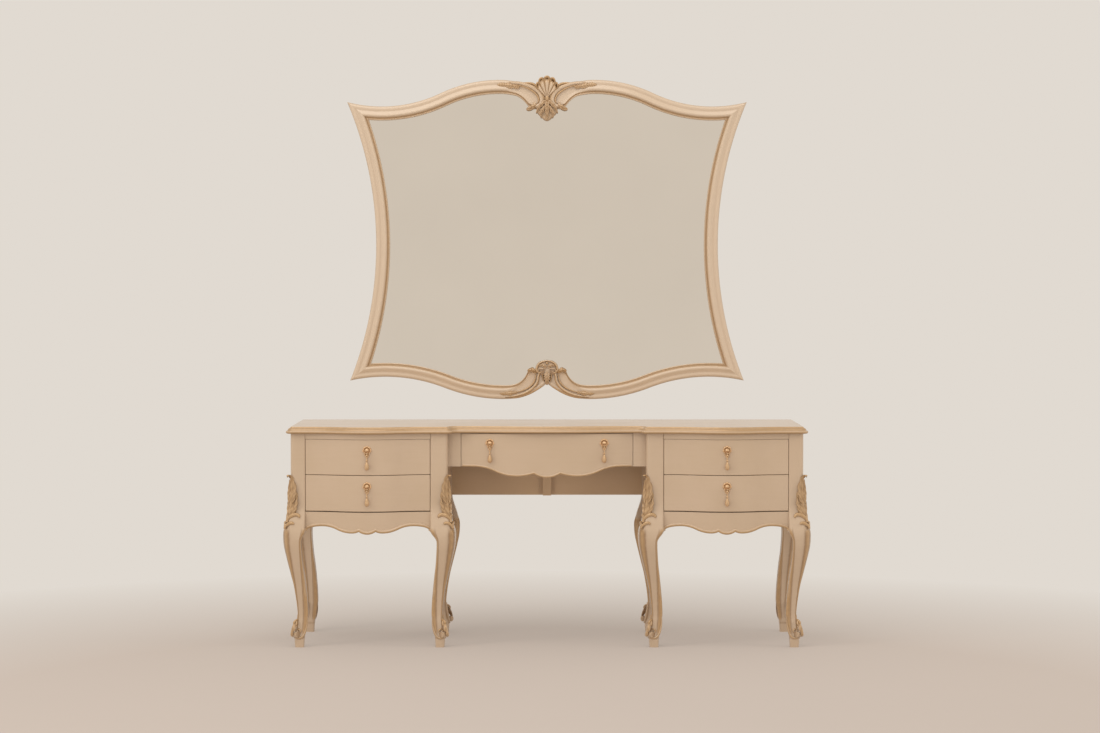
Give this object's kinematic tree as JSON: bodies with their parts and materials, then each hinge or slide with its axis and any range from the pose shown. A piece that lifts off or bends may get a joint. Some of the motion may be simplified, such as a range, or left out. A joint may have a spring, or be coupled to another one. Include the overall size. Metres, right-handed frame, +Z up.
{
  "type": "vanity table with mirror",
  "caption": "Dressing table with curved legs, bowed drawer pedestals and a knee space, with a separate shaped wall mirror hung above it.",
  "frame": {"origin": "on the floor, at the middle of the box round the table and its hung mirror", "axes": "+Z up, +X to the sitter's right, +Y from the drawer fronts towards the wall"},
  "size_m": [1.815, 0.534, 1.9979],
  "materials": {
    "painted_wood": "satin paint over wood, with gilded edges and carving",
    "drawer_lining": "bare pale wood, lightly waxed",
    "back_board": "plain painted board",
    "hanging_wood": "bare softwood",
    "pull_metal": "aged gilt over brass",
    "mirror_glass": "silvered float glass",
    "bumper_felt": "soft wall bumpers"
  },
  "bodies": {
    "case": {"table_top": "painted_wood", "left_front_inner_leg": "painted_wood", "left_front_outer_leg": "painted_wood", "left_back_inner_leg": "painted_wood", "left_back_outer_leg": "painted_wood", "right_front_inner_leg": "painted_wood", "right_front_outer_leg": "painted_wood", "right_back_inner_leg": "painted_wood", "right_back_outer_leg": "painted_wood", "left_outer_side_panel": "painted_wood", "left_inner_side_panel": "painted_wood", "left_back_panel": "back_board", "left_bottom_panel": "back_board", "left_front_top_rail": "painted_wood", "left_front_apron": "painted_wood", "left_drawer_runners": "drawer_lining", "right_outer_side_panel": "painted_wood", "right_inner_side_panel": "painted_wood", "right_back_panel": "back_board", "right_bottom_panel": "back_board", "right_front_top_rail": "painted_wood", "right_front_apron": "painted_wood", "right_drawer_runners": "drawer_lining", "centre_back_rail": "painted_wood", "centre_back_batten": "painted_wood", "centre_stiles": "painted_wood", "centre_drawer_runners": "drawer_lining", "wall_cleat": "hanging_wood"},
    "left_upper_drawer": {"left_upper_drawer_front": "painted_wood", "left_upper_drawer_box": "drawer_lining", "left_upper_pull_rosette": "pull_metal"},
    "left_upper_drop": {"left_upper_pull_drop": "pull_metal"},
    "left_lower_drawer": {"left_lower_drawer_front": "painted_wood", "left_lower_drawer_box": "drawer_lining", "left_lower_pull_rosette": "pull_metal"},
    "left_lower_drop": {"left_lower_pull_drop": "pull_metal"},
    "right_upper_drawer": {"right_upper_drawer_front": "painted_wood", "right_upper_drawer_box": "drawer_lining", "right_upper_pull_rosette": "pull_metal"},
    "right_upper_drop": {"right_upper_pull_drop": "pull_metal"},
    "right_lower_drawer": {"right_lower_drawer_front": "painted_wood", "right_lower_drawer_box": "drawer_lining", "right_lower_pull_rosette": "pull_metal"},
    "right_lower_drop": {"right_lower_pull_drop": "pull_metal"},
    "centre_drawer": {"centre_drawer_front": "painted_wood", "centre_drawer_box": "drawer_lining", "centre_pull_rosettes": "pull_metal"},
    "centre_left_drop": {"centre_left_pull_drop": "pull_metal"},
    "centre_right_drop": {"centre_right_pull_drop": "pull_metal"},
    "mirror": {"mirror_frame_top_rail": "painted_wood", "mirror_frame_bottom_rail": "painted_wood", "mirror_frame_left_stile": "painted_wood", "mirror_frame_right_stile": "painted_wood", "mirror_glass": "mirror_glass", "mirror_backing_board": "back_board", "mirror_top_crest": "painted_wood", "mirror_bottom_crest": "painted_wood", "mirror_cleat": "hanging_wood", "mirror_bumpers": "bumper_felt"}
  },
  "joints": [
    {"name": "left_upper_drawer_slide", "type": "slide", "parent": "case", "child": "left_upper_drawer", "axis": [0, -1, 0], "range_m": [0, 0.3]},
    {"name": "left_lower_drawer_slide", "type": "slide", "parent": "case", "child": "left_lower_drawer", "axis": [0, -1, 0], "range_m": [0, 0.3]},
    {"name": "right_upper_drawer_slide", "type": "slide", "parent": "case", "child": "right_upper_drawer", "axis": [0, -1, 0], "range_m": [0, 0.3]},
    {"name": "right_lower_drawer_slide", "type": "slide", "parent": "case", "child": "right_lower_drawer", "axis": [0, -1, 0], "range_m": [0, 0.3]},
    {"name": "centre_drawer_slide", "type": "slide", "parent": "case", "child": "centre_drawer", "axis": [0, -1, 0], "range_m": [0, 0.3]},
    {"name": "left_upper_drop_swing", "type": "hinge", "parent": "left_upper_drawer", "child": "left_upper_drop", "pos_m": [-0.6155, -0.2605, 0.6735], "axis": [-1, 0, 0], "range_deg": [0, 75]},
    {"name": "left_lower_drop_swing", "type": "hinge", "parent": "left_lower_drawer", "child": "left_lower_drop", "pos_m": [-0.6155, -0.2605, 0.5495], "axis": [-1, 0, 0], "range_deg": [0, 75]},
    {"name": "right_upper_drop_swing", "type": "hinge", "parent": "right_upper_drawer", "child": "right_upper_drop", "pos_m": [0.6155, -0.2605, 0.6735], "axis": [-1, 0, 0], "range_deg": [0, 75]},
    {"name": "right_lower_drop_swing", "type": "hinge", "parent": "right_lower_drawer", "child": "right_lower_drop", "pos_m": [0.6155, -0.2605, 0.5495], "axis": [-1, 0, 0], "range_deg": [0, 75]},
    {"name": "centre_left_drop_swing", "type": "hinge", "parent": "centre_drawer", "child": "centre_left_drop", "pos_m": [-0.197, -0.19311, 0.6945], "axis": [-1, 0, 0], "range_deg": [0, 75]},
    {"name": "centre_right_drop_swing", "type": "hinge", "parent": "centre_drawer", "child": "centre_right_drop", "pos_m": [0.197, -0.19311, 0.6945], "axis": [-1, 0, 0], "range_deg": [0, 75]},
    {"name": "mirror_lift", "type": "slide", "parent": "case", "child": "mirror", "axis": [0, 0, 1], "range_m": [0, 0.03]}
  ]
}
